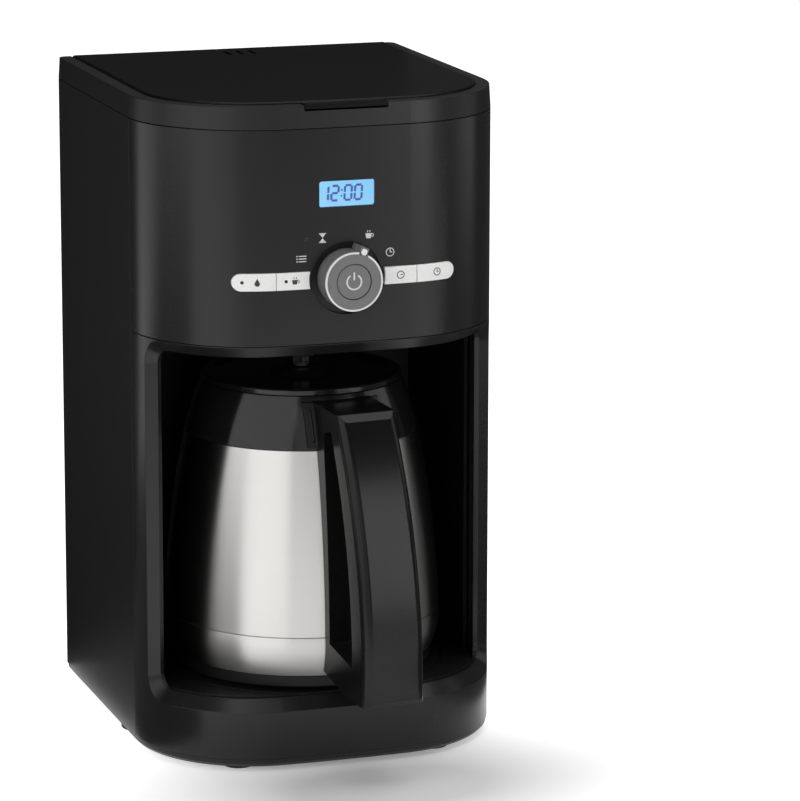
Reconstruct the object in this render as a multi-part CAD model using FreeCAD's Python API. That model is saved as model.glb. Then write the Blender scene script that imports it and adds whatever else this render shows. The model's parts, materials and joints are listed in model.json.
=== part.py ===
import FreeCAD
import Part

import math
import os

# Drip coffee maker with a thermal carafe.
# Sizes are in millimetres. The front faces minus Y and Z points up.
# The origin is on the table, under the middle of the machine and its carafe handle.

V = FreeCAD.Vector
Y_AXIS = V(0, 1, 0)
Z_AXIS = V(0, 0, 1)

# Body sizes
BODY_WIDTH = 197.0
BODY_DEPTH = 217.3
BODY_HEIGHT = 354.7
FRONT_RADIUS = 780.0
CORNER_RADIUS = 66.4
BACK_RADIUS = 5.0
WALL = 2.5
FRAME_WALL = 8.0

# Clearances
SEAM = 0.4
FIT = 0.3
RUN = 0.05
PRINT_GAP = 0.1

# Base and carafe bay
FOOT_HEIGHT = 2.2
FOOT_RADIUS = 9.0
BAND_HEIGHT = 4.1
BASE_FRONT_HEIGHT = 32.2
BEVEL = 6.0
BAY_CORNER = 14.0
JAMB_ANGLE = 15.5
DECK_RISE = 0.8
DECK_THICKNESS = 2.5
LINER_THICKNESS = 2.0
LINER_INSET = 8.5

# Head
PANEL_HEIGHT = 113.0
RIM_HEIGHT = 11.7
RIM_WIDTH = 8.0
RIM_DRAFT = 0.7
LID_PROUD = 1.2
LID_PLATE = 3.5
LID_SKIRT = 5.0
TAB_HALF = 22.2
TAB_DEPTH = 2.7
SLOT_LENGTH = 16.0
SLOT_WIDTH = 2.2
SLOT_PITCH = 7.0
HINGE_GAP = 0.9
HINGE_DROP = 0.2
HINGE_PIN = 2.0
HINGE_PIN_LENGTH = 9.0

# Controls, heights are measured up from the panel's lower seam
KNOB_HEIGHT = 33.9
KNOB_RADIUS = 15.5
KNOB_PROUD = 12.0
WELL_MARGIN = 3.5
WELL_DEPTH = 3.0
WELL_FLOOR = 2.5
SHAFT_RADIUS = 7.0
STEM_RADIUS = 4.6
POWER_INSET = 6.3
POWER_TRAVEL = 2.0
POINTER_ANGLE = 20.0
POINTER_PROUD = 3.0
POINTER_EDGE = 1.2
BAR_INSET = 38.0
INNER_KEY_SHARE = 0.4407
BAR_HEIGHT = 9.1
BAR_PROUD = 0.8
BAR_GAP = 1.7
KEY_TRAVEL = 1.2
DISPLAY_WIDTH = 29.7
DISPLAY_HEIGHT = 13.3
DISPLAY_LIFT = 78.3
DISPLAY_EDGE = 1.2
LED_X = -22.1
LED_LIFT = 55.6
LED_RADIUS = 1.3
KEY_LED_RADIUS = 0.8
KEY_LED_EDGE = 5.0
BOARD_DEPTH = 12.0
BOARD_THICKNESS = 1.6
BOARD_INSET = 42.5
TACT_HEIGHT = 2.2
POST_RADIUS = 3.0
SCREW_RADIUS = 1.6

# Carafe
CARAFE_SETBACK = 80.7
CARAFE_SPACE = 13.6
CARAFE_HEADROOM = 22.0
CAP_HEIGHT = 7.5
BAND_TOP_HEIGHT = 29.9
COLLAR_HEIGHT = 28.0
SHOULDER_STEP = 11.5
NECK_STEP = 20.4
FLANGE_HEIGHT = 3.2
STEEL = 0.8
FLASK_GAP = 4.0
MOUTH_STEP = 11.6
HANDLE_TURN = 5.5
HANDLE_OUT = 50.9
HANDLE_HALF = 17.5
HANDLE_TOP_HALF = 16.5
GRIP_DEPTH = 16.0
COVER_DEPTH = 8.5
GRIP_EDGE = 5.0
STRAP = 3.6
PAD_THICKNESS = 2.0

# Water path
RESERVOIR_WALL = 2.0
RESERVOIR_EDGE = 2.5
HOSE_RADIUS = 6.0
HOSE_BORE = 4.0
NIPPLE = 3.9
TUBE_BORE = 2.6
HOSE_GRIP = 8.0
HOSE_BEND = 12.0
BALL_RADIUS = 3.6
BALL_TRAVEL = 3.0
HEATER_RADIUS = 45.0
HEATER_WIDTH = 16.0
HEATER_HEIGHT = 20.0
VALVE_DROP = 3.5
BASKET_TOP = 56.0
BASKET_FOOT = 45.0
BASKET_WALL = 2.0
BASKET_LEDGE = 0.6
FLOOR_HOLE = 4.5
DUCT_HALF = 8.0
FILTER_WALL = 1.2
SCREEN_COUNT = 6
SCREEN_WIDTH = 12.0
SCREEN_EDGE = 2.0
VALVE_INSET = 38.4
RISER_INSET = 29.5
GLAND_INSET = 37.4

# Places that follow from the sizes above
HALF = BODY_WIDTH / 2
BAY_HALF = HALF - LINER_INSET - LINER_THICKNESS
CARAFE_RADIUS = BAY_HALF - CARAFE_SPACE
TURN = math.radians(HANDLE_TURN)
HANDLE_REACH = CARAFE_RADIUS + HANDLE_OUT
OVERHANG = HANDLE_REACH * math.cos(TURN) - CARAFE_SETBACK
BACK_Y = (BODY_DEPTH + OVERHANG) / 2
FRONT_Y = BACK_Y - BODY_DEPTH
CARAFE_Y = FRONT_Y + CARAFE_SETBACK
CORNER_X = HALF - CORNER_RADIUS
ARC_SPAN = FRONT_RADIUS - CORNER_RADIUS
CORNER_Y = FRONT_Y + FRONT_RADIUS - math.sqrt(ARC_SPAN ** 2 - CORNER_X ** 2)
CREASE_Y = CORNER_Y - 2.0
BAY_BACK = CARAFE_Y + CARAFE_RADIUS + 4.5

BAND_Z = FOOT_HEIGHT + BAND_HEIGHT
FLOOR_Z = FOOT_HEIGHT + WALL
LIP_TOP = BASE_FRONT_HEIGHT + BEVEL
DECK_Z = LIP_TOP + DECK_RISE
RIM_TOP = BODY_HEIGHT - LID_PROUD
RIM_Z = RIM_TOP - RIM_HEIGHT
HINGE_RADIUS = (BODY_HEIGHT - RIM_Z - HINGE_GAP) / 2
PANEL_Z = RIM_Z - PANEL_HEIGHT
BAY_TOP = PANEL_Z - 2 * SEAM
CEILING_Z = BAY_TOP - BEVEL
KNOB_Z = PANEL_Z + KNOB_HEIGHT
WELL_RADIUS = KNOB_RADIUS + WELL_MARGIN
POWER_RADIUS = KNOB_RADIUS - POWER_INSET
POINTER_REACH = KNOB_RADIUS + POINTER_PROUD
BAR_START = WELL_RADIUS + BAR_GAP
BAR_HALF = HALF - BAR_INSET
BAR_SPLIT = BAR_START + (BAR_HALF - BAR_START) * INNER_KEY_SHARE
BOARD_HALF = HALF - BOARD_INSET
BOARD_Y = FRONT_Y + BOARD_DEPTH
HINGE_Y = BACK_Y - HINGE_RADIUS - 0.8
HINGE_Z = BODY_HEIGHT - HINGE_DROP - HINGE_RADIUS

BAND_TOP_Z = DECK_Z + BAND_TOP_HEIGHT
LID_Z = CEILING_Z - CARAFE_HEADROOM - FLANGE_HEIGHT - 1.6
COLLAR_Z = LID_Z - COLLAR_HEIGHT
BOSS_Z = LID_Z + FLANGE_HEIGHT + 1.6
SHOULDER = CARAFE_RADIUS - SHOULDER_STEP
NECK = CARAFE_RADIUS - NECK_STEP
FLASK_NECK = NECK - MOUTH_STEP

BASKET_FLOOR = CEILING_Z + 14.0
RESERVOIR_Z = DECK_Z + 16.0
VALVE_X = VALVE_INSET - HALF
RISER_X = HALF - RISER_INSET
TANK_Y = (BAY_BACK + LINER_THICKNESS + BACK_Y - WALL) / 2
RISER_Y = min(TANK_Y, HINGE_Y - HINGE_RADIUS - FIT - DUCT_HALF * math.sqrt(2))
HEATER_Z = FLOOR_Z + 3.8
HOSE_Z = HEATER_Z + HEATER_HEIGHT / 2
HEATER_END = CARAFE_Y + 36.0
VALVE_Z = RESERVOIR_Z - 22.0


def chain(points, place):
    """Closed wire through 2D points. A point with a third value is the middle of an arc."""
    edges = []
    count = len(points)
    index = 0
    while index < count:
        start = points[index]
        after = points[(index + 1) % count]
        if len(after) == 3:
            end = points[(index + 2) % count]
            edges.append(Part.Arc(place(start), place(after), place(end)).toShape())
            index += 2
        else:
            edges.append(Part.makeLine(place(start), place(after)))
            index += 1
    return Part.Wire(edges)


def turned(points, x=0.0, y=CARAFE_Y):
    """Solid of revolution about an upright axis, from radius and height points."""
    face = Part.Face(chain(points, lambda p: V(x + p[0], y, p[1])))
    return face.revolve(V(x, y, 0), Z_AXIS, 360)


def front_prism(points, y0, y1):
    """Prism along Y from points in X and Z."""
    face = Part.Face(chain(points, lambda p: V(p[0], y0, p[1])))
    return face.extrude(V(0, y1 - y0, 0))


def plan_prism(points, z0, z1):
    """Upright prism from points in X and Y."""
    face = Part.Face(chain(points, lambda p: V(p[0], p[1], z0)))
    return face.extrude(V(0, 0, z1 - z0))


def box(x0, x1, y0, y1, z0, z1):
    return Part.makeBox(x1 - x0, y1 - y0, z1 - z0, V(x0, y0, z0))


def disc(radius, z0, z1, x=0.0, y=CARAFE_Y):
    return Part.makeCylinder(radius, z1 - z0, V(x, y, z0))


def ring(outer, inner, z0, z1, x=0.0, y=CARAFE_Y):
    return disc(outer, z0, z1, x, y).cut(disc(inner, z0, z1, x, y))


def rod_y(radius, y0, y1, x, z):
    return Part.makeCylinder(radius, y1 - y0, V(x, y0, z), Y_AXIS)


def tube_y(outer, inner, y0, y1, x, z):
    return rod_y(outer, y0, y1, x, z).cut(rod_y(inner, y0, y1, x, z))


def rod_x(radius, x0, x1, y, z):
    return Part.makeCylinder(radius, x1 - x0, V(x0, y, z), V(1, 0, 0))


def merged(shapes):
    """One clean solid from touching shapes."""
    return shapes[0].multiFuse(shapes[1:]).removeSplitter()


def eased(shape, radius, chosen):
    """Rounds the edges that the test picks."""
    edges = [edge for edge in shape.Edges if chosen(edge)]
    return shape.makeFillet(radius, edges)


def outline(inset, back=None):
    """Plan of the body, moved in by the inset. The back can have an inset of its own."""
    half = HALF - inset
    rear = BACK_Y - (inset if back is None else back)
    front = FRONT_RADIUS - inset
    corner = CORNER_RADIUS - inset
    small = max(BACK_RADIUS - inset, 1.0)
    centre = FRONT_Y + FRONT_RADIUS
    lean = math.asin(CORNER_X / ARC_SPAN)
    touch_x = front * math.sin(lean)
    touch_y = centre - front * math.cos(lean)
    middle = (math.pi / 2 - lean) / 2
    bend_x = CORNER_X + corner * math.cos(middle)
    bend_y = CORNER_Y - corner * math.sin(middle)
    ease = small * (1 - math.sqrt(0.5))
    points = [
        (-touch_x, touch_y),
        (0.0, centre - front, True),
        (touch_x, touch_y),
        (bend_x, bend_y, True),
        (half, CORNER_Y),
        (half, rear - small),
        (half - ease, rear - ease, True),
        (half - small, rear),
        (small - half, rear),
        (ease - half, rear - ease, True),
        (-half, rear - small),
        (-half, CORNER_Y),
        (-bend_x, bend_y, True),
    ]
    return chain(points, lambda p: V(p[0], p[1], 0))


def slab(inset, z0, z1, back=None):
    """Body plan extruded between two heights."""
    wire = outline(inset, back)
    wire.translate(V(0, 0, z0))
    return Part.Face(wire).extrude(V(0, 0, z1 - z0))


def tapered(inset0, z0, inset1, z1, back0=None, back1=None):
    """Body plan that narrows or widens between two heights."""
    low = outline(inset0, back0)
    low.translate(V(0, 0, z0))
    high = outline(inset1, back1)
    high.translate(V(0, 0, z1))
    return Part.makeLoft([low, high], True, True)


def skin(inset0, inset1, z0, z1):
    """Wall between two insets of the body plan."""
    return slab(inset0, z0, z1).cut(slab(inset1, z0, z1))


def behind(y):
    return box(-BODY_WIDTH, BODY_WIDTH, y, y + 2 * BODY_DEPTH, -BODY_HEIGHT, 2 * BODY_HEIGHT)


def ahead(y):
    return box(-BODY_WIDTH, BODY_WIDTH, y - 2 * BODY_DEPTH, y, -BODY_HEIGHT, 2 * BODY_HEIGHT)


def bay_corner(side):
    """Point, outward normal and tangent where the bay's rounded corner is centred."""
    angle = math.radians(JAMB_ANGLE) + BAY_CORNER / CORNER_RADIUS
    normal = V(side * math.cos(angle), -math.sin(angle), 0)
    tangent = V(side * math.sin(angle), math.cos(angle), 0)
    point = V(side * CORNER_X, CORNER_Y, 0) + normal * CORNER_RADIUS
    return point, normal, tangent


def bay_cutters():
    """Solids that open the carafe bay in the front, with a bevel all round."""
    over = 4.0
    past = FRAME_WALL + 1.0
    low = BASE_FRONT_HEIGHT
    point, normal, tangent = bay_corner(1)
    outer = point + normal * (over * 5)
    inner = point - normal * past
    far = FRONT_Y - 2 * over
    tall = [(outer.x, outer.y), (inner.x, inner.y), (-inner.x, inner.y), (-outer.x, outer.y)]
    tall = tall + [(-outer.x, far - BODY_DEPTH), (outer.x, far - BODY_DEPTH)]
    middle = plan_prism(tall, low - over, BAY_TOP + over)
    middle = middle.cut(tapered(-over, low - over, BEVEL, LIP_TOP))
    middle = middle.cut(tapered(BEVEL, CEILING_Z, -over, BAY_TOP + over))
    edge = point + normal * over + tangent * (BAY_CORNER + over)
    lip = point - normal * BEVEL + tangent * (BAY_CORNER - BEVEL)
    end = point - normal * past + tangent * (BAY_CORNER - BEVEL)
    right = [(edge.x, edge.y), (lip.x, lip.y), (end.x, end.y)]
    left = [(-p[0], p[1]) for p in reversed(right)]
    wide = right + left + [(-BODY_WIDTH, far), (BODY_WIDTH, far)]
    across = plan_prism(wide, low + BAY_CORNER, BAY_TOP - BAY_CORNER)
    cutters = [middle, across]
    for side in (1, -1):
        point, normal, tangent = bay_corner(side)
        for height in (low + BAY_CORNER, BAY_TOP - BAY_CORNER):
            place = point + V(0, 0, height)
            start = place + normal * over
            reach = over + BEVEL
            cone = Part.makeCone(BAY_CORNER + over, BAY_CORNER - BEVEL, reach, start, -normal)
            throat = BAY_CORNER - BEVEL
            bore = Part.makeCylinder(throat, past - BEVEL, place - normal * BEVEL, -normal)
            cutters.append(cone)
            cutters.append(bore)
    return cutters


def foot_places():
    side = HALF - FOOT_RADIUS - 2.0
    front = FRONT_Y + 20.0
    places = []
    for sign in (1, -1):
        places.append((sign * HALF * 0.55, front))
        places.append((sign * side, CARAFE_Y + 20.0))
        places.append((sign * side * 0.85, BACK_Y - 20.0))
    return places


def rubber_feet():
    feet = []
    for x, y in foot_places():
        foot = turned([(0, 0), (FOOT_RADIUS - 0.8, 0), (FOOT_RADIUS, 0.8),
                       (FOOT_RADIUS, FOOT_HEIGHT), (0, FOOT_HEIGHT)], x, y)
        feet.append(foot)
    return Part.makeCompound(feet)


def post_places():
    """Where the deck's legs stand on the base plate."""
    near = BAY_HALF - 30.0
    side = BAY_HALF - 6.0
    front = CORNER_Y - 18.0
    rear = BAY_BACK - 12.0
    return [(near, front), (-near, front), (side, rear), (-side, rear)]


def base_plate():
    plate = tapered(2.6, FOOT_HEIGHT, 0.7, FOOT_HEIGHT + 1.9)
    plate = plate.fuse(slab(0.7, FOOT_HEIGHT + 1.9, BAND_Z))
    plate = plate.cut(slab(WALL + 1.0, FLOOR_Z, BAND_Z))
    for x, y in post_places():
        plate = plate.cut(disc(SCREW_RADIUS + FIT, FOOT_HEIGHT, FLOOR_Z, x, y))
        plate = plate.cut(Part.makeCone(3.4, SCREW_RADIUS + FIT, 1.6, V(x, y, FOOT_HEIGHT)))
    return plate


def base_screws():
    screws = []
    for x, y in post_places():
        head = Part.makeCone(3.2, SCREW_RADIUS, 1.6, V(x, y, FOOT_HEIGHT + 0.1))
        shank = disc(SCREW_RADIUS, FOOT_HEIGHT + 0.1, FLOOR_Z + 12.0, x, y)
        slot = box(x - 2.6, x + 2.6, y - 0.4, y + 0.4, FOOT_HEIGHT, FOOT_HEIGHT + 0.9)
        screws.append(head.fuse(shank).cut(slot))
    return Part.makeCompound(screws)


def gland_place():
    return HALF - GLAND_INSET, FLOOR_Z + 16.0


def main_housing():
    shell = skin(0, WALL, BAND_Z + FIT, RIM_Z - SEAM)
    shell = shell.cut(ahead(CREASE_Y))
    x, z = gland_place()
    shell = shell.cut(box(x - 8.0, x + 8.0, BACK_Y - 2 * WALL, BACK_Y + 1, z - 6.0, z + 6.0))
    return shell


def front_frame():
    body = skin(0, FRAME_WALL, BAND_Z + FIT, PANEL_Z - SEAM)
    body = body.cut(behind(CREASE_Y - SEAM))
    body = body.cut(slab(WALL, BAND_Z, BASE_FRONT_HEIGHT - BEVEL))
    for cutter in bay_cutters():
        body = body.cut(cutter)
    return body


def key_profile(side, start, stop, grow, round_end):
    """Front outline of a key. The inner end follows the knob's well or is straight."""
    half = BAR_HEIGHT / 2 + grow
    low = KNOB_Z - half
    high = KNOB_Z + half
    if round_end:
        near = start - grow
        flat = stop - BAR_HEIGHT / 2
        points = [(near, low), (flat, low), (stop + grow, KNOB_Z, True), (flat, high)]
        points = points + [(near, high)]
    else:
        near = start - grow
        edge = math.sqrt(near ** 2 - half ** 2)
        points = [(edge, low), (stop + grow, low), (stop + grow, high), (edge, high)]
        points = points + [(near, KNOB_Z, True)]
    return [(side * p[0], p[1]) + tuple(p[2:]) for p in points]


def key_shapes():
    """The four keys of the bar as side, inner end, outer end and kind of end."""
    gap = SEAM / 2
    return {
        "clean_button": (-1, BAR_SPLIT + gap, BAR_HALF, True),
        "batch_button": (-1, BAR_START, BAR_SPLIT - gap, False),
        "hour_button": (1, BAR_START, BAR_SPLIT - gap, False),
        "minute_button": (1, BAR_SPLIT + gap, BAR_HALF, True),
    }


def key_middle(name):
    side, start, stop, round_end = key_shapes()[name]
    return side * (start + stop) / 2


def key_led_x(name):
    """Where a key's light sits, close to its left end."""
    side, start, stop, round_end = key_shapes()[name]
    return side * (stop - KEY_LED_EDGE)


def key(name):
    side, start, stop, round_end = key_shapes()[name]
    reach = FRONT_Y + CORNER_RADIUS
    profile = key_profile(side, start, stop, 0, round_end)
    column = front_prism(profile, FRONT_Y - 5.0, reach)
    zone = (PANEL_Z, RIM_Z)
    cap = column.common(skin(-BAR_PROUD, WALL + FIT, zone[0], zone[1]))
    wide = front_prism(key_profile(side, start, stop, 1.2, round_end), FRONT_Y, reach)
    keep = box(BAR_START + 0.2, BAR_SPLIT - 0.1, FRONT_Y - 5.0, reach, zone[0], zone[1])
    if round_end:
        keep = box(BAR_SPLIT + 0.1, HALF, FRONT_Y - 5.0, reach, zone[0], zone[1])
    if side < 0:
        keep = keep.mirror(V(0, 0, 0), V(1, 0, 0))
    flange = wide.common(skin(WALL + PRINT_GAP, WALL + 1.3, zone[0], zone[1])).common(keep)
    x = key_middle(name)
    tip = BOARD_Y - TACT_HEIGHT - KEY_TRAVEL - FIT
    stem = rod_y(1.6, FRONT_Y, tip, x, KNOB_Z).common(slab(WALL, zone[0], zone[1]))
    body = merged([cap, flange, stem])
    if side < 0:
        hole = rod_y(KEY_LED_RADIUS + 0.05, FRONT_Y - 5.0, FRONT_Y + 9.0, key_led_x(name), KNOB_Z)
        body = body.cut(hole)
    return body


def key_led(name):
    x = key_led_x(name)
    lens = rod_y(KEY_LED_RADIUS, FRONT_Y - 5.0, FRONT_Y + 9.0, x, KNOB_Z)
    return lens.common(skin(-BAR_PROUD - 0.1, WALL + FIT, PANEL_Z, RIM_Z))


def board_posts():
    low = PANEL_Z + 12.0
    high = PANEL_Z + PANEL_HEIGHT * 0.84
    return [(44.0, low), (-44.0, low), (44.0, high), (-44.0, high)]


def control_panel():
    body = skin(0, WALL, PANEL_Z, RIM_Z - SEAM)
    body = body.cut(behind(CREASE_Y - SEAM))
    inside = slab(WALL / 2, PANEL_Z, RIM_Z - SEAM)
    wide = BAR_START - FIT
    boss = rod_y(wide, FRONT_Y, FRONT_Y + WELL_DEPTH + WELL_FLOOR, 0, KNOB_Z).common(inside)
    posts = []
    for x, z in board_posts():
        posts.append(rod_y(POST_RADIUS, FRONT_Y, BOARD_Y, x, z).common(inside))
    body = merged([body, boss] + posts)
    body = body.cut(rod_y(WELL_RADIUS, FRONT_Y - 1, FRONT_Y + WELL_DEPTH, 0, KNOB_Z))
    body = body.cut(rod_y(SHAFT_RADIUS + FIT, FRONT_Y, FRONT_Y + 9.0, 0, KNOB_Z))
    deep = FRONT_Y + CORNER_RADIUS
    for side in (1, -1):
        profile = [(BAR_START - 3.0, KNOB_Z - BAR_HEIGHT / 2 - FIT)]
        profile.append((BAR_HALF - BAR_HEIGHT / 2, KNOB_Z - BAR_HEIGHT / 2 - FIT))
        profile.append((BAR_HALF + FIT, KNOB_Z, True))
        profile.append((BAR_HALF - BAR_HEIGHT / 2, KNOB_Z + BAR_HEIGHT / 2 + FIT))
        profile.append((BAR_START - 3.0, KNOB_Z + BAR_HEIGHT / 2 + FIT))
        profile = [(side * p[0], p[1]) + tuple(p[2:]) for p in profile]
        window = front_prism(profile, FRONT_Y - 1, deep).cut(boss)
        body = body.cut(window)
    body = body.cut(display_block(PRINT_GAP, FRONT_Y - 1, FRONT_Y + 9.0))
    hole = rod_y(LED_RADIUS + PRINT_GAP, FRONT_Y - 1, FRONT_Y + 9.0, LED_X, PANEL_Z + LED_LIFT)
    body = body.cut(hole)
    for x, z in board_posts():
        body = body.cut(rod_y(SCREW_RADIUS + RUN, BOARD_Y - 5.0, BOARD_Y, x, z))
    return body


def runs_back(edge):
    """True for edges that run from the front to the back."""
    return abs(edge.tangentAt(edge.FirstParameter).y) > 0.9


def display_block(grow, y0, y1):
    """Display window as a block with rounded corners."""
    half = DISPLAY_WIDTH / 2 + grow
    tall = DISPLAY_HEIGHT / 2 + grow
    z = PANEL_Z + DISPLAY_LIFT
    return eased(box(-half, half, y0, y1, z - tall, z + tall), DISPLAY_EDGE + grow, runs_back)


def display_lens():
    return display_block(0, FRONT_Y + 0.7, FRONT_Y + WALL - FIT)


def lcd_module():
    half = DISPLAY_WIDTH / 2 + 2.5
    tall = DISPLAY_HEIGHT / 2 + 2.5
    z = PANEL_Z + DISPLAY_LIFT
    return box(-half, half, FRONT_Y + WALL + SEAM, BOARD_Y, z - tall, z + tall)


def status_led():
    return rod_y(LED_RADIUS, FRONT_Y, BOARD_Y, LED_X, PANEL_Z + LED_LIFT)


def control_board():
    board = box(-BOARD_HALF, BOARD_HALF, BOARD_Y, BOARD_Y + BOARD_THICKNESS,
                PANEL_Z + 7.0, PANEL_Z + PANEL_HEIGHT * 0.84 + 5.0)
    for x, z in board_posts():
        board = board.cut(rod_y(SCREW_RADIUS + FIT, BOARD_Y, BOARD_Y + BOARD_THICKNESS, x, z))
    return board


def board_screws():
    screws = []
    for x, z in board_posts():
        rear = BOARD_Y + BOARD_THICKNESS
        shank = rod_y(SCREW_RADIUS, BOARD_Y - 4.5, rear, x, z)
        head = rod_y(SCREW_RADIUS * 1.9, rear, rear + 1.6, x, z)
        screws.append(shank.fuse(head))
    return Part.makeCompound(screws)


def tact_switches():
    places = [key_middle(name) for name in key_shapes()]
    switches = []
    for x in places + [0.0]:
        switches.append(box(x - 2.5, x + 2.5, BOARD_Y - TACT_HEIGHT, BOARD_Y,
                            KNOB_Z - 2.5, KNOB_Z + 2.5))
    return Part.makeCompound(switches)


def rotary_switch():
    return tube_y(SHAFT_RADIUS + 5.0, SHAFT_RADIUS + RUN, BOARD_Y - 5.0, BOARD_Y, 0, KNOB_Z)


def pointer_bar(width, near, reach, y0, y1):
    """Radial bar on the knob at its rest angle."""
    bar = box(-width / 2, width / 2, y0, y1, KNOB_Z + near, KNOB_Z + reach)
    bar.rotate(V(0, 0, KNOB_Z), Y_AXIS, POINTER_ANGLE)
    return bar


def selector_knob():
    front = FRONT_Y - KNOB_PROUD
    rear = FRONT_Y + WELL_DEPTH - SEAM
    body = rod_y(KNOB_RADIUS, front, rear, 0, KNOB_Z)
    ridge = pointer_bar(4.4, KNOB_RADIUS - 3.0, POINTER_REACH, front + 0.6, rear)
    shaft = rod_y(SHAFT_RADIUS, rear, BOARD_Y - SEAM, 0, KNOB_Z)
    body = merged([body, ridge, shaft])
    pocket = front + KNOB_PROUD * 0.65
    body = body.cut(rod_y(POWER_RADIUS + FIT, front, pocket, 0, KNOB_Z))
    body = body.cut(rod_y(STEM_RADIUS + FIT, front, BOARD_Y, 0, KNOB_Z))
    groove = tube_y(KNOB_RADIUS + 1, KNOB_RADIUS - 1.0, front, front + 1.0, 0, KNOB_Z)
    body = body.cut(groove)
    seat = pointer_bar(3.0, KNOB_RADIUS - 0.9, POINTER_REACH - 0.6, front, front + 1.4)
    return body.cut(seat)


def knob_trim_ring():
    front = FRONT_Y - KNOB_PROUD
    band = tube_y(KNOB_RADIUS, KNOB_RADIUS - 1.0 + RUN, front, front + 1.0, 0, KNOB_Z)
    return band.cut(pointer_bar(5.2, KNOB_RADIUS - 2.5, POINTER_REACH, front, front + 1.0))


def knob_pointer():
    front = FRONT_Y - KNOB_PROUD
    bar = pointer_bar(3.0, KNOB_RADIUS - 0.9, POINTER_REACH - 0.6, front + 0.2, front + 1.4)
    return eased(bar, POINTER_EDGE, runs_back)


def power_button():
    front = FRONT_Y - KNOB_PROUD
    pocket = front + KNOB_PROUD * 0.65
    face = rod_y(POWER_RADIUS, front + 0.2, pocket - POWER_TRAVEL - SEAM, 0, KNOB_Z)
    face = eased(face, 0.6, lambda e: abs(e.CenterOfMass.y - front - 0.2) < 0.01)
    tip = BOARD_Y - TACT_HEIGHT - POWER_TRAVEL - FIT
    stem = rod_y(STEM_RADIUS, front + 2.0, tip, 0, KNOB_Z)
    return merged([face, stem])


def top_rim():
    body = tapered(0, RIM_Z, RIM_DRAFT, RIM_TOP)
    body = body.cut(slab(RIM_WIDTH, RIM_Z, RIM_TOP))
    inner = HALF - RIM_WIDTH
    body = body.cut(box(-inner, inner, BACK_Y - 30.0, BACK_Y + 1, RIM_Z, RIM_TOP))
    notch = TAB_HALF + SEAM
    body = body.cut(box(-notch, notch, FRONT_Y - 1, FRONT_Y + 20.0, RIM_TOP - TAB_DEPTH, RIM_TOP))
    reach = HINGE_PIN_LENGTH / 2
    for side in (1, -1):
        a = side * inner - reach
        body = body.cut(rod_x(HINGE_PIN + 0.02, a, a + 2 * reach, HINGE_Y, HINGE_Z))
    return body


def hinge_pins():
    reach = HINGE_PIN_LENGTH / 2 - 0.2
    inner = HALF - RIM_WIDTH
    pins = []
    for side in (1, -1):
        pins.append(rod_x(HINGE_PIN, side * inner - reach, side * inner + reach, HINGE_Y, HINGE_Z))
    return Part.makeCompound(pins)


def lid_inset():
    return RIM_WIDTH + SEAM


def lid():
    edge = lid_inset()
    under = BODY_HEIGHT - LID_PLATE
    rear = BACK_Y - HINGE_Y
    crown = BODY_HEIGHT - 0.8
    plate = slab(edge, under, crown, rear)
    top = tapered(edge, crown, edge + 0.8, BODY_HEIGHT, rear, rear)
    skirt = slab(edge + 1.5, under - LID_SKIRT, under, rear + 12.0)
    skirt = skirt.cut(slab(edge + 3.3, under - LID_SKIRT, under, rear + 13.8))
    skirt = skirt.cut(behind(TANK_Y - 16.0))
    skirt = skirt.cut(duct_block(DUCT_HALF + FIT, 0, DUCT_HALF + FIT, under - LID_SKIRT, under))
    side = HALF - edge
    barrel = rod_x(HINGE_RADIUS, -side, side, HINGE_Y, HINGE_Z)
    bridge = box(-side, side, HINGE_Y - 8.0, HINGE_Y, under, BODY_HEIGHT)
    tab_z = RIM_TOP - TAB_DEPTH + 1.0
    tab = box(-TAB_HALF, TAB_HALF, FRONT_Y - 1, FRONT_Y + 14.0, tab_z, BODY_HEIGHT - 0.6)
    tab = tab.common(slab(RIM_DRAFT - 0.6, tab_z, BODY_HEIGHT))
    body = merged([plate, top, skirt, barrel, bridge, tab])
    middle = BACK_Y - 24.0
    for step in (-1, 0, 1):
        x = step * SLOT_PITCH
        half = SLOT_WIDTH / 2
        slot = box(x - half, x + half, middle - SLOT_LENGTH / 2, middle + SLOT_LENGTH / 2,
                   under - 1, BODY_HEIGHT + 1)
        body = body.cut(slot)
    reach = HINGE_PIN_LENGTH / 2
    for sign in (1, -1):
        a = sign * (HALF - RIM_WIDTH) - reach
        body = body.cut(rod_x(HINGE_PIN + RUN, a, a + 2 * reach, HINGE_Y, HINGE_Z))
    return body


def shower_head():
    """Spray disc under the lid, fed by a closed duct from above the riser."""
    under = BODY_HEIGHT - LID_PLATE
    low = RIM_Z + 3.2
    plate = disc(38.0, low, low + 2.0)
    wall = ring(38.0, 36.4, low, under)
    for index in range(12):
        angle = 2 * math.pi * index / 12
        x = 24.0 * math.cos(angle)
        y = CARAFE_Y + 24.0 * math.sin(angle)
        plate = plate.cut(disc(1.5, low, low + 2.0, x, y))
    inner = DUCT_HALF - 1.6
    duct = duct_block(DUCT_HALF, 30.0, DUCT_HALF, low, under)
    duct = duct.cut(duct_block(inner, 28.0, inner, low + 1.6, under))
    duct = duct.cut(disc(HOSE_BORE, low, low + 1.6, RISER_X, RISER_Y))
    duct = duct.cut(disc(36.4, low + 2.0, under))
    wall = wall.cut(duct_block(inner, 0, -20.0, low + 2.0, under))
    return merged([plate, wall, duct])


def duct_block(half, start, past, z0, z1):
    """Box from the carafe axis towards the riser, ending a distance past it."""
    span = V(RISER_X, RISER_Y - CARAFE_Y, 0)
    block = box(start, span.Length + past, -half, half, z0, z1)
    block.rotate(V(0, 0, 0), Z_AXIS, math.degrees(math.atan2(span.y, span.x)))
    block.translate(V(0, CARAFE_Y, 0))
    return block


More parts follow.
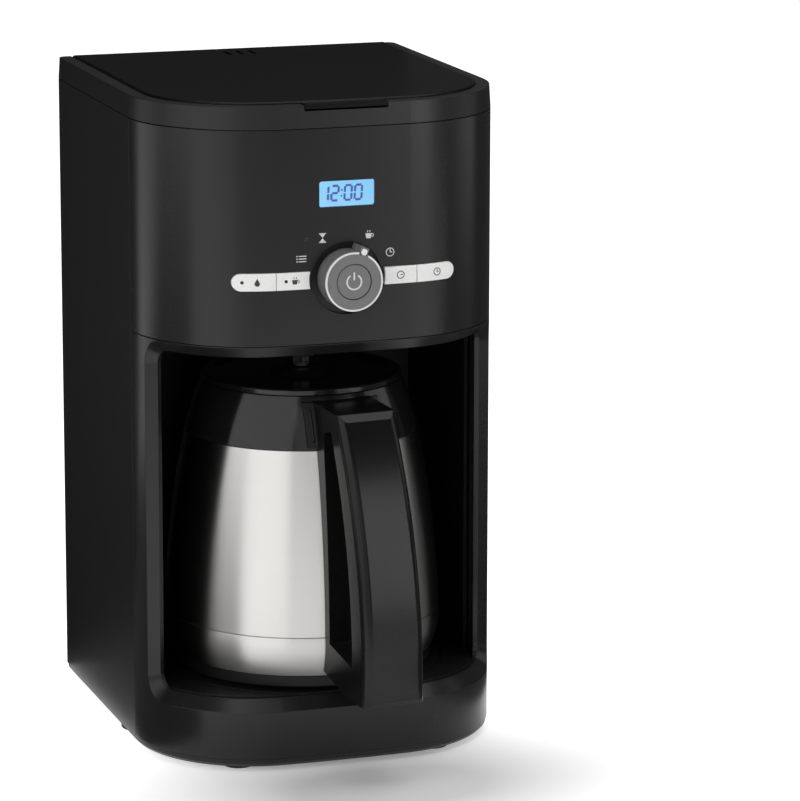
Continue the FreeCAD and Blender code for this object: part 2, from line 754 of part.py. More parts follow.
def tank_box(grow):
    """Plan limits of the reservoir, moved out by a distance."""
    x0 = WALL + 3.0 - HALF
    x1 = RISER_X - 14.0
    y0 = BAY_BACK + LINER_THICKNESS + 1.0
    y1 = BACK_Y - WALL - 0.8
    return x0 - grow, x1 + grow, y0 - grow, y1 + grow


def reservoir():
    x0, x1, y0, y1 = tank_box(0)
    top = RIM_Z - WALL
    body = box(x0, x1, y0, y1, RESERVOIR_Z, top)
    body = eased(body, RESERVOIR_EDGE, lambda e: abs(e.tangentAt(e.FirstParameter).z) > 0.9)
    x0, x1, y0, y1 = tank_box(-RESERVOIR_WALL)
    body = body.cut(box(x0, x1, y0, y1, RESERVOIR_Z + RESERVOIR_WALL, top))
    return body.cut(disc(3.0, RESERVOIR_Z, RESERVOIR_Z + WALL, VALVE_X, TANK_Y))


def top_deck():
    plate = slab(WALL + FIT, RIM_Z - WALL, RIM_Z)
    plate = plate.cut(disc(BASKET_TOP + 2.0, RIM_Z - WALL, RIM_Z))
    x0, x1, y0, y1 = tank_box(-RESERVOIR_WALL - 2.0)
    y1 = min(y1, HINGE_Y - HINGE_RADIUS - 2.0)
    plate = plate.cut(box(x0, x1, y0, y1, RIM_Z - WALL, RIM_Z))
    return plate.cut(disc(NIPPLE + 0.6, RIM_Z - WALL, RIM_Z, RISER_X, RISER_Y))


def bay_liner():
    outer = BAY_HALF + LINER_THICKNESS
    rear = BAY_BACK + LINER_THICKNESS
    front = CREASE_Y + FIT
    body = box(-outer, outer, front, rear, FLOOR_Z, CEILING_Z)
    body = body.cut(box(-BAY_HALF, BAY_HALF, front, BAY_BACK, FLOOR_Z, CEILING_Z))
    low = DECK_Z - DECK_THICKNESS
    return body.cut(box(8.0 - BAY_HALF, BAY_HALF - 8.0, BAY_BACK, rear, FLOOR_Z, low))


def bay_ceiling():
    plate = slab(FRAME_WALL + FIT, CEILING_Z, CEILING_Z + WALL)
    plate = plate.cut(behind(BAY_BACK + LINER_THICKNESS))
    return plate.cut(disc(BASKET_FOOT + 1.0, CEILING_Z, CEILING_Z + WALL))


def carafe_deck():
    low = DECK_Z - DECK_THICKNESS
    plate = slab(FRAME_WALL + FIT, low, DECK_Z)
    plate = plate.cut(behind(BAY_BACK - FIT))
    side = BAY_HALF - FIT
    plate = plate.common(box(-side, side, FRONT_Y, BACK_Y, low, DECK_Z))
    plate = plate.cut(ring(CARAFE_RADIUS + 1.6, CARAFE_RADIUS + 0.6, DECK_Z - 0.6, DECK_Z))
    posts = [disc(4.0, FLOOR_Z, low, x, y) for x, y in post_places()]
    body = merged([plate] + posts)
    for x, y in post_places():
        body = body.cut(disc(SCREW_RADIUS + RUN, FLOOR_Z, FLOOR_Z + 13.0, x, y))
    return body


def heater():
    """Cast horseshoe with a nipple at each end."""
    inner = HEATER_RADIUS - HEATER_WIDTH / 2
    outer = HEATER_RADIUS + HEATER_WIDTH / 2
    top = HEATER_Z + HEATER_HEIGHT
    arc = ring(outer, inner, HEATER_Z, top).cut(behind(CARAFE_Y))
    shapes = [arc]
    for side in (1, -1):
        near = min(side * inner, side * outer)
        shapes.append(box(near, near + HEATER_WIDTH, CARAFE_Y, HEATER_END, HEATER_Z, top))
        nipple = rod_y(NIPPLE, HEATER_END, HEATER_END + HOSE_GRIP, side * HEATER_RADIUS, HOSE_Z)
        shapes.append(nipple)
    body = merged(shapes)
    for side in (1, -1):
        bore = rod_y(TUBE_BORE, CARAFE_Y, HEATER_END + HOSE_GRIP, side * HEATER_RADIUS, HOSE_Z)
        body = body.cut(bore)
    return body.cut(ring(HEATER_RADIUS + TUBE_BORE, HEATER_RADIUS - TUBE_BORE,
                         HOSE_Z - TUBE_BORE, HOSE_Z + TUBE_BORE).cut(behind(CARAFE_Y)))


def heater_brackets():
    pads = []
    for side in (1, -1):
        x = side * HEATER_RADIUS
        pads.append(box(x - 6.0, x + 6.0, CARAFE_Y + 6.0, CARAFE_Y + 20.0, FLOOR_Z, HEATER_Z))
    front = CARAFE_Y - HEATER_RADIUS
    pads.append(box(-7.0, 7.0, front - 6.0, front + 6.0, FLOOR_Z, HEATER_Z))
    return Part.makeCompound(pads)


def thermostat():
    top = HEATER_Z + HEATER_HEIGHT
    y = CARAFE_Y - HEATER_RADIUS
    body = disc(7.5, top, top + 1.2, 0, y).fuse(disc(6.0, top + 1.2, top + 4.2, 0, y))
    return body.removeSplitter()


def thermal_fuses():
    top = HEATER_Z + HEATER_HEIGHT
    fuses = []
    for step in (0, 1):
        x = 3.6 + HEATER_RADIUS - 7.2 * step
        y = CARAFE_Y + 4.0
        cell = rod_y(3.0, y, y + 22.0, x, top + 2.2)
        fuses.append(cell.cut(box(x - 4, x + 4, y - 1, y + 23, top - 4, top)))
    return Part.makeCompound(fuses)


def rounded_path(points, bend):
    """Line and arc wire through points, with every inner corner bent."""
    edges = []
    start = points[0]
    for index in range(1, len(points) - 1):
        here = points[index]
        back = (points[index - 1] - here).normalize()
        ahead_of = (points[index + 1] - here).normalize()
        angle = back.getAngle(ahead_of)
        trim = bend / math.tan(angle / 2)
        middle = (back + ahead_of).normalize()
        depth = bend / math.sin(angle / 2) - bend
        first = here + back * trim
        last = here + ahead_of * trim
        edges.append(Part.makeLine(start, first))
        edges.append(Part.Arc(first, here + middle * depth, last).toShape())
        start = last
    edges.append(Part.makeLine(start, points[-1]))
    return Part.Wire(edges)


def hose(points):
    path = rounded_path(points, HOSE_BEND)
    direction = points[1] - points[0]
    solids = []
    for radius in (HOSE_RADIUS, HOSE_BORE):
        circle = Part.Wire(Part.makeCircle(radius, points[0], direction))
        solids.append(path.makePipeShell([circle], True, False))
    return solids[0].cut(solids[1])


def inlet_points():
    return [V(VALVE_X, TANK_Y, VALVE_Z), V(VALVE_X, TANK_Y, HOSE_Z - 6.0),
            V(VALVE_X, BAY_BACK - 8.0, HOSE_Z - 6.0),
            V(-HEATER_RADIUS, HEATER_END + 14.0, HOSE_Z), V(-HEATER_RADIUS, HEATER_END, HOSE_Z)]


def outlet_points():
    return [V(RISER_X, RISER_Y, RESERVOIR_Z), V(RISER_X, RISER_Y, HOSE_Z - 6.0),
            V(RISER_X, BAY_BACK - 8.0, HOSE_Z - 6.0),
            V(HEATER_RADIUS, HEATER_END + 14.0, HOSE_Z), V(HEATER_RADIUS, HEATER_END, HOSE_Z)]


def inlet_hose():
    return hose(inlet_points())


def outlet_hose():
    return hose(outlet_points())


def hose_clamps():
    inner = HOSE_RADIUS + PRINT_GAP
    outer = inner + 1.0
    clamps = []
    for side in (1, -1):
        clamps.append(tube_y(outer, inner, HEATER_END + 1.5, HEATER_END + 5.5,
                             side * HEATER_RADIUS, HOSE_Z))
    clamps.append(ring(outer, inner, VALVE_Z - 5.0, VALVE_Z - 1.0, VALVE_X, TANK_Y))
    clamps.append(ring(outer, inner, RESERVOIR_Z - 5.0, RESERVOIR_Z - 1.0, RISER_X, RISER_Y))
    return Part.makeCompound(clamps)


def riser_tube():
    return ring(NIPPLE, TUBE_BORE, RESERVOIR_Z - HOSE_GRIP, RIM_Z + 3.2 - FIT, RISER_X, RISER_Y)


def ball_z():
    seat = 2.4
    return VALVE_Z + 3.0 + math.sqrt(BALL_RADIUS ** 2 - seat ** 2) + 0.1


def check_valve():
    """Cage under the reservoir with a loose ball that rises to stop back flow."""
    top = RESERVOIR_Z
    roof = ball_z() + BALL_TRAVEL + FIT + math.sqrt(BALL_RADIUS ** 2 - 9.0)
    body = disc(8.0, VALVE_Z, top, VALVE_X, TANK_Y)
    body = body.fuse(disc(10.0, top - 2.0, top, VALVE_X, TANK_Y))
    body = body.fuse(disc(NIPPLE, VALVE_Z - HOSE_GRIP, VALVE_Z, VALVE_X, TANK_Y))
    body = body.cut(disc(5.0, VALVE_Z + 3.0, roof, VALVE_X, TANK_Y))
    body = body.cut(disc(3.0, roof, top, VALVE_X, TANK_Y))
    body = body.cut(disc(2.4, VALVE_Z - HOSE_GRIP, VALVE_Z + 3.0, VALVE_X, TANK_Y))
    return body.removeSplitter()


def check_ball():
    return Part.makeSphere(BALL_RADIUS, V(VALVE_X, TANK_Y, ball_z()))


def cord_gland():
    """Bushing for a flat lead in the back wall."""
    x, z = gland_place()
    outer = box(x - 10.0, x + 10.0, BACK_Y, BACK_Y + 2.0, z - 8.0, z + 8.0)
    outer = eased(outer, 3.0, lambda e: abs(e.tangentAt(e.FirstParameter).y) > 0.9)
    neck = box(x - 7.8, x + 7.8, BACK_Y - WALL - 0.2, BACK_Y, z - 5.8, z + 5.8)
    inner = box(x - 9.5, x + 9.5, BACK_Y - WALL - 2.2, BACK_Y - WALL - 0.2, z - 7.5, z + 7.5)
    body = merged([outer, neck, inner])
    slot = box(x - 4.0, x + 4.0, BACK_Y - 12.0, BACK_Y + 4.0, z - 2.6, z + 2.6)
    return body.cut(slot)


def basket_inner(z):
    """Inside radius of the brew basket at a height."""
    low = BASKET_FLOOR
    high = RIM_Z + 2.2
    share = (z - low) / (high - low)
    return BASKET_FOOT - BASKET_WALL + share * (BASKET_TOP - BASKET_FOOT)


def brew_basket():
    """Cone that hangs in the head by its flange, with a ledge for the valve seat."""
    top = RIM_Z + 2.2
    low = CEILING_Z - 4.0
    foot = BASKET_FOOT - BASKET_WALL
    under = BASKET_FLOOR - WALL
    return turned([(basket_inner(top), top), (BASKET_TOP + 6.0, top), (BASKET_TOP + 6.0, RIM_Z),
                   (BASKET_TOP, RIM_Z), (BASKET_FOOT, under), (BASKET_FOOT, low),
                   (foot - BASKET_LEDGE, low), (foot - BASKET_LEDGE, under), (foot, under),
                   (foot, BASKET_FLOOR)])


def valve_seat():
    """Floor of the basket, with a guide tube and a cage for the drip valve."""
    tip = CEILING_Z - 16.0
    foot = BASKET_FOOT - BASKET_WALL - PRINT_GAP
    under = BASKET_FLOOR - WALL
    guide = FLOOR_HOLE + 2.5
    body = turned([(foot, BASKET_FLOOR), (foot, under), (guide + 6.0, under), (guide, under - 6.0),
                   (guide, tip), (FLOOR_HOLE, tip), (FLOOR_HOLE, BASKET_FLOOR)])
    cage = BASKET_FLOOR + 16.0
    shapes = [body, ring(12.0, 3.0, cage, cage + 2.0)]
    for index in range(3):
        leg = box(9.6, 12.0, -2.0, 2.0, BASKET_FLOOR - 0.5, cage + 1.0)
        leg.rotate(V(0, 0, 0), Z_AXIS, 120 * index)
        leg.translate(V(0, CARAFE_Y, 0))
        shapes.append(leg)
    return merged(shapes)


def filter_cup():
    """The filter's cone before its windows are cut, open at the bottom."""
    top = RIM_Z + 2.2
    floor = BASKET_FLOOR + 22.0
    upper = basket_inner(top) - 0.6
    lower = basket_inner(floor) - 1.0
    return turned([(lower - FILTER_WALL, floor), (lower, floor), (upper, top), (upper + 2.4, top),
                   (upper + 2.4, top + 0.8), (upper - FILTER_WALL, top + 0.8)])


def filter_windows(inset):
    windows = []
    floor = BASKET_FLOOR + 22.0
    wide = SCREEN_WIDTH / 2 - inset
    low = floor + SCREEN_EDGE + inset
    high = RIM_Z - 11.8 - inset
    for index in range(SCREEN_COUNT):
        window = box(-wide, wide, BASKET_FOOT / 2, BASKET_TOP, low, high)
        window.rotate(V(0, 0, 0), Z_AXIS, 360 / SCREEN_COUNT * index)
        window.translate(V(0, CARAFE_Y, 0))
        windows.append(window)
    return windows


def mesh_filter():
    """Cone filter frame with windows, resting on the basket's rim."""
    body = filter_cup()
    for window in filter_windows(0):
        body = body.cut(window)
    return body


def filter_screens():
    """The filter's mesh: one sheet in each window and a round one at the bottom."""
    cup = filter_cup()
    floor = BASKET_FLOOR + 22.0
    inner = basket_inner(floor) - 1.0 - FILTER_WALL - PRINT_GAP
    sheets = [cup.common(window) for window in filter_windows(PRINT_GAP)]
    return Part.makeCompound(sheets + [disc(inner, floor, floor + FILTER_WALL)])


def drip_valve():
    """Stem that the carafe holds up, with a head that closes the basket's hole."""
    tip = BOSS_Z + FIT
    head = BASKET_FLOOR + VALVE_DROP + 0.6
    wide = math.sqrt((FLOOR_HOLE - 0.08) ** 2 - 0.64)
    shapes = [disc(FLOOR_HOLE + 2.5, head, head + 2.2), disc(4.0, tip, tip + 2.0)]
    shapes.append(box(-wide, wide, CARAFE_Y - 0.8, CARAFE_Y + 0.8, tip + 1.0, head))
    shapes.append(box(-0.8, 0.8, CARAFE_Y - wide, CARAFE_Y + wide, tip + 1.0, head))
    return merged(shapes)


def drip_seal():
    head = BASKET_FLOOR + VALVE_DROP + 0.6
    return ring(FLOOR_HOLE + 2.5, FLOOR_HOLE + 0.3, head - 0.5, head)


def drip_spring():
    head = BASKET_FLOOR + VALVE_DROP + 0.6
    return ring(5.0, 3.6, head + 2.2, BASKET_FLOOR + 16.0)


def carafe_side(grow):
    """Outer radius and height points of the carafe's lower cap, steel body and collar."""
    middle = (BAND_TOP_Z + COLLAR_Z) / 2
    bulge = (CARAFE_RADIUS + SHOULDER) / 2 + 2.25
    slope = (SHOULDER + NECK) / 2 + 0.8
    return [(0, DECK_Z), (CARAFE_RADIUS - 4.0 + grow, DECK_Z),
            (CARAFE_RADIUS - 4.0 + grow, DECK_Z + CAP_HEIGHT),
            (CARAFE_RADIUS - 0.7 + grow, DECK_Z + CAP_HEIGHT + 8.0, True),
            (CARAFE_RADIUS + grow, BAND_TOP_Z),
            (bulge + grow, middle, True), (SHOULDER + grow, COLLAR_Z),
            (slope + grow, (COLLAR_Z + LID_Z) / 2, True), (NECK + grow, LID_Z), (0, LID_Z)]


def carafe_cap():
    radius = CARAFE_RADIUS - 4.6
    return turned([(0, DECK_Z + 1.0), (radius - 9.0, DECK_Z + 1.0), (radius - 9.0, DECK_Z),
                   (radius - 2.0, DECK_Z), (radius, DECK_Z + 2.0),
                   (radius, DECK_Z + CAP_HEIGHT), (0, DECK_Z + CAP_HEIGHT)])


def carafe_band():
    """Lower steel cup of the carafe."""
    low = DECK_Z + CAP_HEIGHT
    high = BAND_TOP_Z - SEAM
    radius = CARAFE_RADIUS
    return turned([(0, low), (radius - 5.5, low), (radius - 4.0, low + 0.5),
                   (radius - 0.9, low + 8.0, True), (radius, high), (radius - STEEL, high),
                   (radius - 1.7, low + 8.5, True), (radius - 5.4, low + STEEL + 0.6),
                   (0, low + STEEL + 0.6)])


def carafe_shell():
    """Main steel wall of the carafe, with a spigot into the lower cup."""
    middle = (BAND_TOP_Z + COLLAR_Z) / 2
    bulge = (CARAFE_RADIUS + SHOULDER) / 2 + 2.25
    radius = CARAFE_RADIUS
    step = radius - STEEL - 0.1
    return turned([(radius, BAND_TOP_Z), (bulge, middle, True), (SHOULDER, COLLAR_Z),
                   (SHOULDER - 6.0, COLLAR_Z + 2.0), (SHOULDER - 6.5, COLLAR_Z + 1.2),
                   (SHOULDER - STEEL, COLLAR_Z - STEEL), (bulge - STEEL, middle, True),
                   (step - STEEL, BAND_TOP_Z - 5.0), (step, BAND_TOP_Z - 5.0),
                   (step, BAND_TOP_Z)])


def shell_radius(z):
    """Outside radius of the steel wall at a height, with its slight bulge."""
    share = (z - BAND_TOP_Z) / (COLLAR_Z - BAND_TOP_Z)
    return CARAFE_RADIUS - share * SHOULDER_STEP + 9.0 * share * (1 - share)


def flask_wall(z):
    """Outside radius of the inner flask's straight side."""
    share = (z - BAND_TOP_Z) / (COLLAR_Z - BAND_TOP_Z)
    return CARAFE_RADIUS - FLASK_GAP - 1.5 - share * SHOULDER_STEP


def carafe_flask():
    low = DECK_Z + CAP_HEIGHT + FLASK_GAP
    shoulder = COLLAR_Z - 4.0
    neck = FLASK_NECK
    top = LID_Z - 1.5
    wide = flask_wall(BAND_TOP_Z)
    upper = flask_wall(shoulder)
    inner = neck - STEEL
    outside = [(0, low), (wide - 6.0, low), (wide - 1.5, low + 3.0), (wide, low + 12.0)]
    outside = outside + [(upper, shoulder), (neck, shoulder + 10.0), (neck, top)]
    inside = [(inner, top), (inner, shoulder + 9.6), (upper - STEEL, shoulder - 0.6)]
    inside = inside + [(wide - STEEL, low + 12.0), (wide - 2.2, low + 3.6)]
    inside = inside + [(wide - 6.4, low + STEEL), (0, low + STEEL)]
    return turned(outside + inside)


def carafe_collar():
    """Plastic shoulder with a pouring lip at the back."""
    slope = (SHOULDER + NECK) / 2 + 0.8
    bore = FLASK_NECK + 0.1
    body = turned([(SHOULDER + 0.2, COLLAR_Z + SEAM), (slope, (COLLAR_Z + LID_Z) / 2, True),
                   (NECK, LID_Z - SEAM), (bore, LID_Z - SEAM), (bore, COLLAR_Z + 8.5),
                   (bore + 2.5, COLLAR_Z + 8.5), (SHOULDER - 6.0, COLLAR_Z + 2.3),
                   (SHOULDER - 0.4, COLLAR_Z + SEAM)])
    lip = plan_prism([(-16.0, NECK - 6.0), (16.0, NECK - 6.0), (4.0, NECK + 11.0),
                      (0, NECK + 12.0, True), (-4.0, NECK + 11.0)], LID_Z - 16.0, LID_Z - SEAM)
    lean = Part.makeCone(NECK - 4.0, NECK + 14.0, 18.0, V(0, 0, LID_Z - 18.0))
    lip = lip.common(lean)
    lip.rotate(V(0, 0, 0), Z_AXIS, HANDLE_TURN)
    lip.translate(V(0, CARAFE_Y, 0))
    body = body.fuse(lip).removeSplitter()
    return body.cut(disc(bore, COLLAR_Z, LID_Z))


def grip_points():
    """Outer face of the grip as reach and height: top, middle and foot."""
    top = (CARAFE_RADIUS + 16.1, LID_Z - 7.0)
    middle = (CARAFE_RADIUS + 43.1, DECK_Z + 0.52 * (LID_Z - DECK_Z))
    foot = (HANDLE_REACH, DECK_Z + 7.3)
    return top, middle, foot


def side_prism(points, half):
    """Prism across the handle from reach and height points."""
    face = Part.Face(chain(points, lambda p: V(-half, CARAFE_Y - p[0], p[1])))
    return face.extrude(V(2 * half, 0, 0))


def grip_inner(depth):
    top, middle, foot = grip_points()
    return [(top[0] - depth * 0.6, top[1]), (middle[0] - depth, middle[1] - 2.0, True),
            (foot[0] - depth, foot[1])]


def handle_block():
    """Whole loop of the handle before the grip cover is split off."""
    top, middle, foot = grip_points()
    body = side_prism([(NECK - 4.0, LID_Z - 2.4), (top[0] - 4.0, LID_Z - 3.6), top,
                       (middle[0], middle[1], True), foot, (foot[0] - 2.5, foot[1] - 2.8),
                       (foot[0] - 24.0, foot[1] - 2.8), (CARAFE_RADIUS - 8.0, DECK_Z + 12.0)],
                      HANDLE_HALF)
    taper = front_prism([(-HANDLE_HALF, 0), (HANDLE_HALF, 0), (HANDLE_TOP_HALF, LID_Z),
                         (-HANDLE_TOP_HALF, LID_Z)], FRONT_Y - BODY_DEPTH, CARAFE_Y)
    body = body.common(taper)
    gap = grip_inner(GRIP_DEPTH)
    strap_top = SHOULDER + STRAP + 2.5
    strap_low = CARAFE_RADIUS + STRAP + 0.4
    low_z = BAND_TOP_Z - 2.0
    bulge = (CARAFE_RADIUS + SHOULDER) / 2 + 2.7 + STRAP
    centre = (low_z + COLLAR_Z) / 2
    hollow = side_prism([(strap_top, COLLAR_Z + 11.5), (gap[0][0] - 2.0, COLLAR_Z + 14.5),
                         (gap[1][0], gap[1][1], True), (gap[2][0] - 1.0, foot[1] + 15.0),
                         (strap_low, low_z), (bulge + 0.8, centre, True)], HANDLE_HALF + 5.0)
    body = body.cut(hollow)
    body = merged([body, collar_pad()])
    return body.cut(turned(carafe_side(FIT + PRINT_GAP)))


def collar_pad():
    """Plate of the handle that lies on the collar, with a mould slot at its left."""
    low = COLLAR_Z + 2.0
    high = LID_Z - 3.0
    wide = HANDLE_HALF + 4.0
    zone = box(-wide, wide, CARAFE_Y - HANDLE_REACH, CARAFE_Y - NECK / 2, low, high)
    pad = turned(carafe_side(PAD_THICKNESS)).common(zone)
    slot = box(2.6 - wide, 3.8 - wide, CARAFE_Y - HANDLE_REACH, CARAFE_Y, low + 3.0, high - 3.0)
    return pad.cut(slot)


def turn_handle(shape):
    shape.rotate(V(0, CARAFE_Y, 0), Z_AXIS, HANDLE_TURN)
    return shape


def cover_zone(depth):
    """Front slice of the grip as a prism."""
    top, middle, foot = grip_points()
    inner = grip_inner(depth)
    far = 30.0
    return side_prism([inner[0], inner[1], inner[2], (inner[2][0], foot[1] - 9.0),
                       (foot[0] + far, foot[1] - 9.0), (foot[0] + far, LID_Z),
                       (inner[0][0], LID_Z)], HANDLE_HALF + 5.0)


def long_outer_edge(edge):
    """True for the two long front edges of the grip."""
    tall = edge.BoundBox.ZLength > (LID_Z - DECK_Z) * 0.6
    return tall and edge.BoundBox.YMin < CARAFE_Y - HANDLE_REACH + 3.0


def grip_edge():
    """Radius of the grip's long edges, limited by the cover's thin upper end."""
    top, middle, foot = [V(*point, 0) for point in grip_points()]
    arc = Part.Arc(top, middle, foot)
    lean = arc.tangent(arc.FirstParameter)[0]
    return min(GRIP_EDGE, 1.15 * COVER_DEPTH * 0.6 * abs(lean.y))


def handle_cover():
    body = handle_block().common(cover_zone(COVER_DEPTH))
    body = eased(body, grip_edge(), long_outer_edge)
    return turn_handle(body)


def carafe_handle():
    body = handle_block().cut(cover_zone(COVER_DEPTH + PRINT_GAP))
    for x, z in handle_screw_places():
        body = body.cut(rod_y(SCREW_RADIUS + RUN, CARAFE_Y - HANDLE_REACH, CARAFE_Y, x, z))
        body = body.cut(rod_y(3.2, CARAFE_Y - HANDLE_REACH, CARAFE_Y - CARAFE_RADIUS - 2.2, x, z))
    return turn_handle(body)


def handle_screw_places():
    return [(0.0, BAND_TOP_Z + 14.0)]


def handle_screws():
    screws = []
    for x, z in handle_screw_places():
        front = CARAFE_Y - CARAFE_RADIUS - 2.2
        head = rod_y(3.0, front - 1.4, front, x, z)
        shank = rod_y(SCREW_RADIUS, front, CARAFE_Y - shell_radius(z) - 2 * FIT, x, z)
        screws.append(turn_handle(head.fuse(shank)))
    return Part.makeCompound(screws)


def carafe_lid():
    """Turning stopper with a dished top and a raised filling boss."""
    top = LID_Z + FLANGE_HEIGHT
    plug = FLASK_NECK - STEEL - 1.2
    low = LID_Z - 15.0
    return turned([(4.0, low), (plug, low), (plug, LID_Z - 9.0), (plug - 2.0, LID_Z - 9.0),
                   (plug - 2.0, LID_Z - 6.0), (plug, LID_Z - 6.0), (plug, LID_Z),
                   (NECK - 0.1, LID_Z), (NECK - 0.1, top - 0.8), (NECK - 0.9, top),
                   (NECK - 5.0, top), (NECK - 7.0, top - 1.4), (18.0, top - 1.4),
                   (14.0, BOSS_Z), (7.0, BOSS_Z), (4.0, BOSS_Z - 1.5)])


def lid_gasket():
    plug = FLASK_NECK - STEEL - 1.2
    return ring(plug + 0.9, plug - 1.9, LID_Z - 8.8, LID_Z - 6.2)


PARTS = {
    "rubber_feet": rubber_feet,
    "base_plate": base_plate,
    "base_screws": base_screws,
    "main_housing": main_housing,
    "front_frame": front_frame,
    "control_panel": control_panel,
    "top_rim": top_rim,
    "top_deck": top_deck,
    "bay_liner": bay_liner,
    "bay_ceiling": bay_ceiling,
    "carafe_deck": carafe_deck,
    "hinge_pins": hinge_pins,
    "lid": lid,
    "shower_head": shower_head,
    "reservoir": reservoir,
    "check_valve": check_valve,
    "check_ball": check_ball,
    "inlet_hose": inlet_hose,
    "outlet_hose": outlet_hose,
    "hose_clamps": hose_clamps,
    "riser_tube": riser_tube,
    "heater": heater,
    "heater_brackets": heater_brackets,
    "thermostat": thermostat,
    "thermal_fuses": thermal_fuses,
    "cord_gland": cord_gland,
    "brew_basket": brew_basket,
    "valve_seat": valve_seat,
    "mesh_filter": mesh_filter,
    "filter_screens": filter_screens,
    "drip_valve": drip_valve,
    "drip_seal": drip_seal,
    "drip_spring": drip_spring,
    "control_board": control_board,
    "board_screws": board_screws,
    "tact_switches": tact_switches,
    "rotary_switch": rotary_switch,
    "lcd_module": lcd_module,
    "display_lens": display_lens,
    "status_led": status_led,
    "selector_knob": selector_knob,
    "knob_trim_ring": knob_trim_ring,
    "knob_pointer": knob_pointer,
    "power_button": power_button,
    "carafe_cap": carafe_cap,
    "carafe_band": carafe_band,
    "carafe_shell": carafe_shell,
    "carafe_flask": carafe_flask,
    "carafe_collar": carafe_collar,
    "carafe_handle": carafe_handle,
    "handle_cover": handle_cover,
    "handle_screws": handle_screws,
    "carafe_lid": carafe_lid,
    "lid_gasket": lid_gasket,
}


def save(name, shape):
    shape.exportStep(os.path.join("parts", name + ".step"))


os.makedirs("parts", exist_ok=True)
for part_name, make in PARTS.items():
    save(part_name, make())
for key_name in key_shapes():
    save(key_name, key(key_name))
save("clean_led", key_led("clean_button"))
save("batch_led", key_led("batch_button"))
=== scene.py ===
import json
import math

import bmesh
import bpy
from mathutils import Matrix, Vector


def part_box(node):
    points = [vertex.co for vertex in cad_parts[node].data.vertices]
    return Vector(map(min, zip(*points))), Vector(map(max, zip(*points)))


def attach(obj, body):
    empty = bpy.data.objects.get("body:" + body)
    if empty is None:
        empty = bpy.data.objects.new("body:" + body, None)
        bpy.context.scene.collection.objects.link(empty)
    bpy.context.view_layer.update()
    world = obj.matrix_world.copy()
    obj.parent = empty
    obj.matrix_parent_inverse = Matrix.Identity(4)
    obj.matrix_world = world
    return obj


# Looks of a drip coffee maker with a thermal carafe.
# Lengths are metres in the part's own frame: +X right, minus Y front, +Z up.

MM = 0.001
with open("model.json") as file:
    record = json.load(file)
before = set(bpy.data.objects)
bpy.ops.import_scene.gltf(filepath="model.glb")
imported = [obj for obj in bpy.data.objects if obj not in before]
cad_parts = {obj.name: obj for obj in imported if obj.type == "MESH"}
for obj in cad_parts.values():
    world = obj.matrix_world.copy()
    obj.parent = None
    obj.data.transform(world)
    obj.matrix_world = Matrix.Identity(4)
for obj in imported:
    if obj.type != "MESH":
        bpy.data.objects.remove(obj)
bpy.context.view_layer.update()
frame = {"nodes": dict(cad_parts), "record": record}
nodes = frame["nodes"]
scene = bpy.context.scene
scene.view_settings.view_transform = "Standard"

# Prints
PRINT_THICKNESS = 0.06 * MM
PRINT_LIFT = 0.01 * MM
ARC_STEPS = 40

# Camera, fitted to the photograph's viewing angle
CAMERA_PLACE = Vector((-0.654, -2.0948, 0.67258))
CAMERA_YAW = math.radians(18.781)
CAMERA_PITCH = math.radians(11.70)
CAMERA_ROLL = math.radians(0.108)
CAMERA_LENS = 186.97
CAMERA_SENSOR = 36.0
CAMERA_SHIFT = (0.0, -0.088)

# Floor: its glow, the place and reach of the painted shadow left in the glow, an ellipse in front
# of the machine where no glow is added (metres, with the floor's coordinates squeezed), and where
# reflections of the glow fade towards the front
SWEEP_GLOW = 0.9
PAINTED_SHADOW_SQUEEZE = (0.6, 1.0, 1.0)
PAINTED_SHADOW_PLACE = (0.006, -0.13, 0.0)
PAINTED_SHADOW_SPAN = (0.03, 0.13)
SWEEP_FRONT = (-1.3, -0.6)
SWEEP_LEFT = (-1.0, -0.5)
SWEEP_LEFT_REACH = 0.7
FLOOR_SIZE = 14.0

# Dark cards: plan corners, and the faint light that each gives back
CARD_HEIGHT = 0.8
CARD_LIFT = 0.001
BACK_CARD = ((-0.085, 0.141), (-0.75, 0.75))
RIGHT_WALL = ((0.11, 0.14), (0.8, 0.05))
LEFT_CARD = ((-1.8, -0.6), (-0.5, -0.22), (-0.13, -0.1), (-0.107, -0.03),
             (-0.107, 0.14), (-0.085, 0.141), (-0.44, 0.466), (-1.8, 0.466))
RIGHT_CARD = ((0.14, -0.35), (1.8, -0.95), (1.8, 0.8), (0.14, 0.35))
BACK_LEVEL = 0.02
WALL_LEVEL = 0.05
FLOOR_LEVEL = 0.1

# Lamps: name, place, target, width and height, watts
WORLD_STRENGTH = 0.025
MACHINE = (0, 0, 0.2)
LAMPS = (
    ("left_softbox", (-1.56, -0.9, 0.96), MACHINE, (2.6, 1.8), 21.0),
    ("right_softbox", (1.15, -1.75, 0.60), MACHINE, (0.8, 1.1), 9.5),
    ("front_softbox", (-0.35, -2.9, 0.95), MACHINE, (1.7, 1.75), 7.5),
    ("far_right_softbox", (1.55, -0.35, 0.85), MACHINE, (0.9, 0.9), 2.3),
    ("top_softbox", (0.4, 0.5, 2.2), (0.4, 0.5, 0), (2.4, 2.4), 42.0),
)


# Materials

QUARTER_TURN = 0.25
BEVEL_SAMPLES = 8


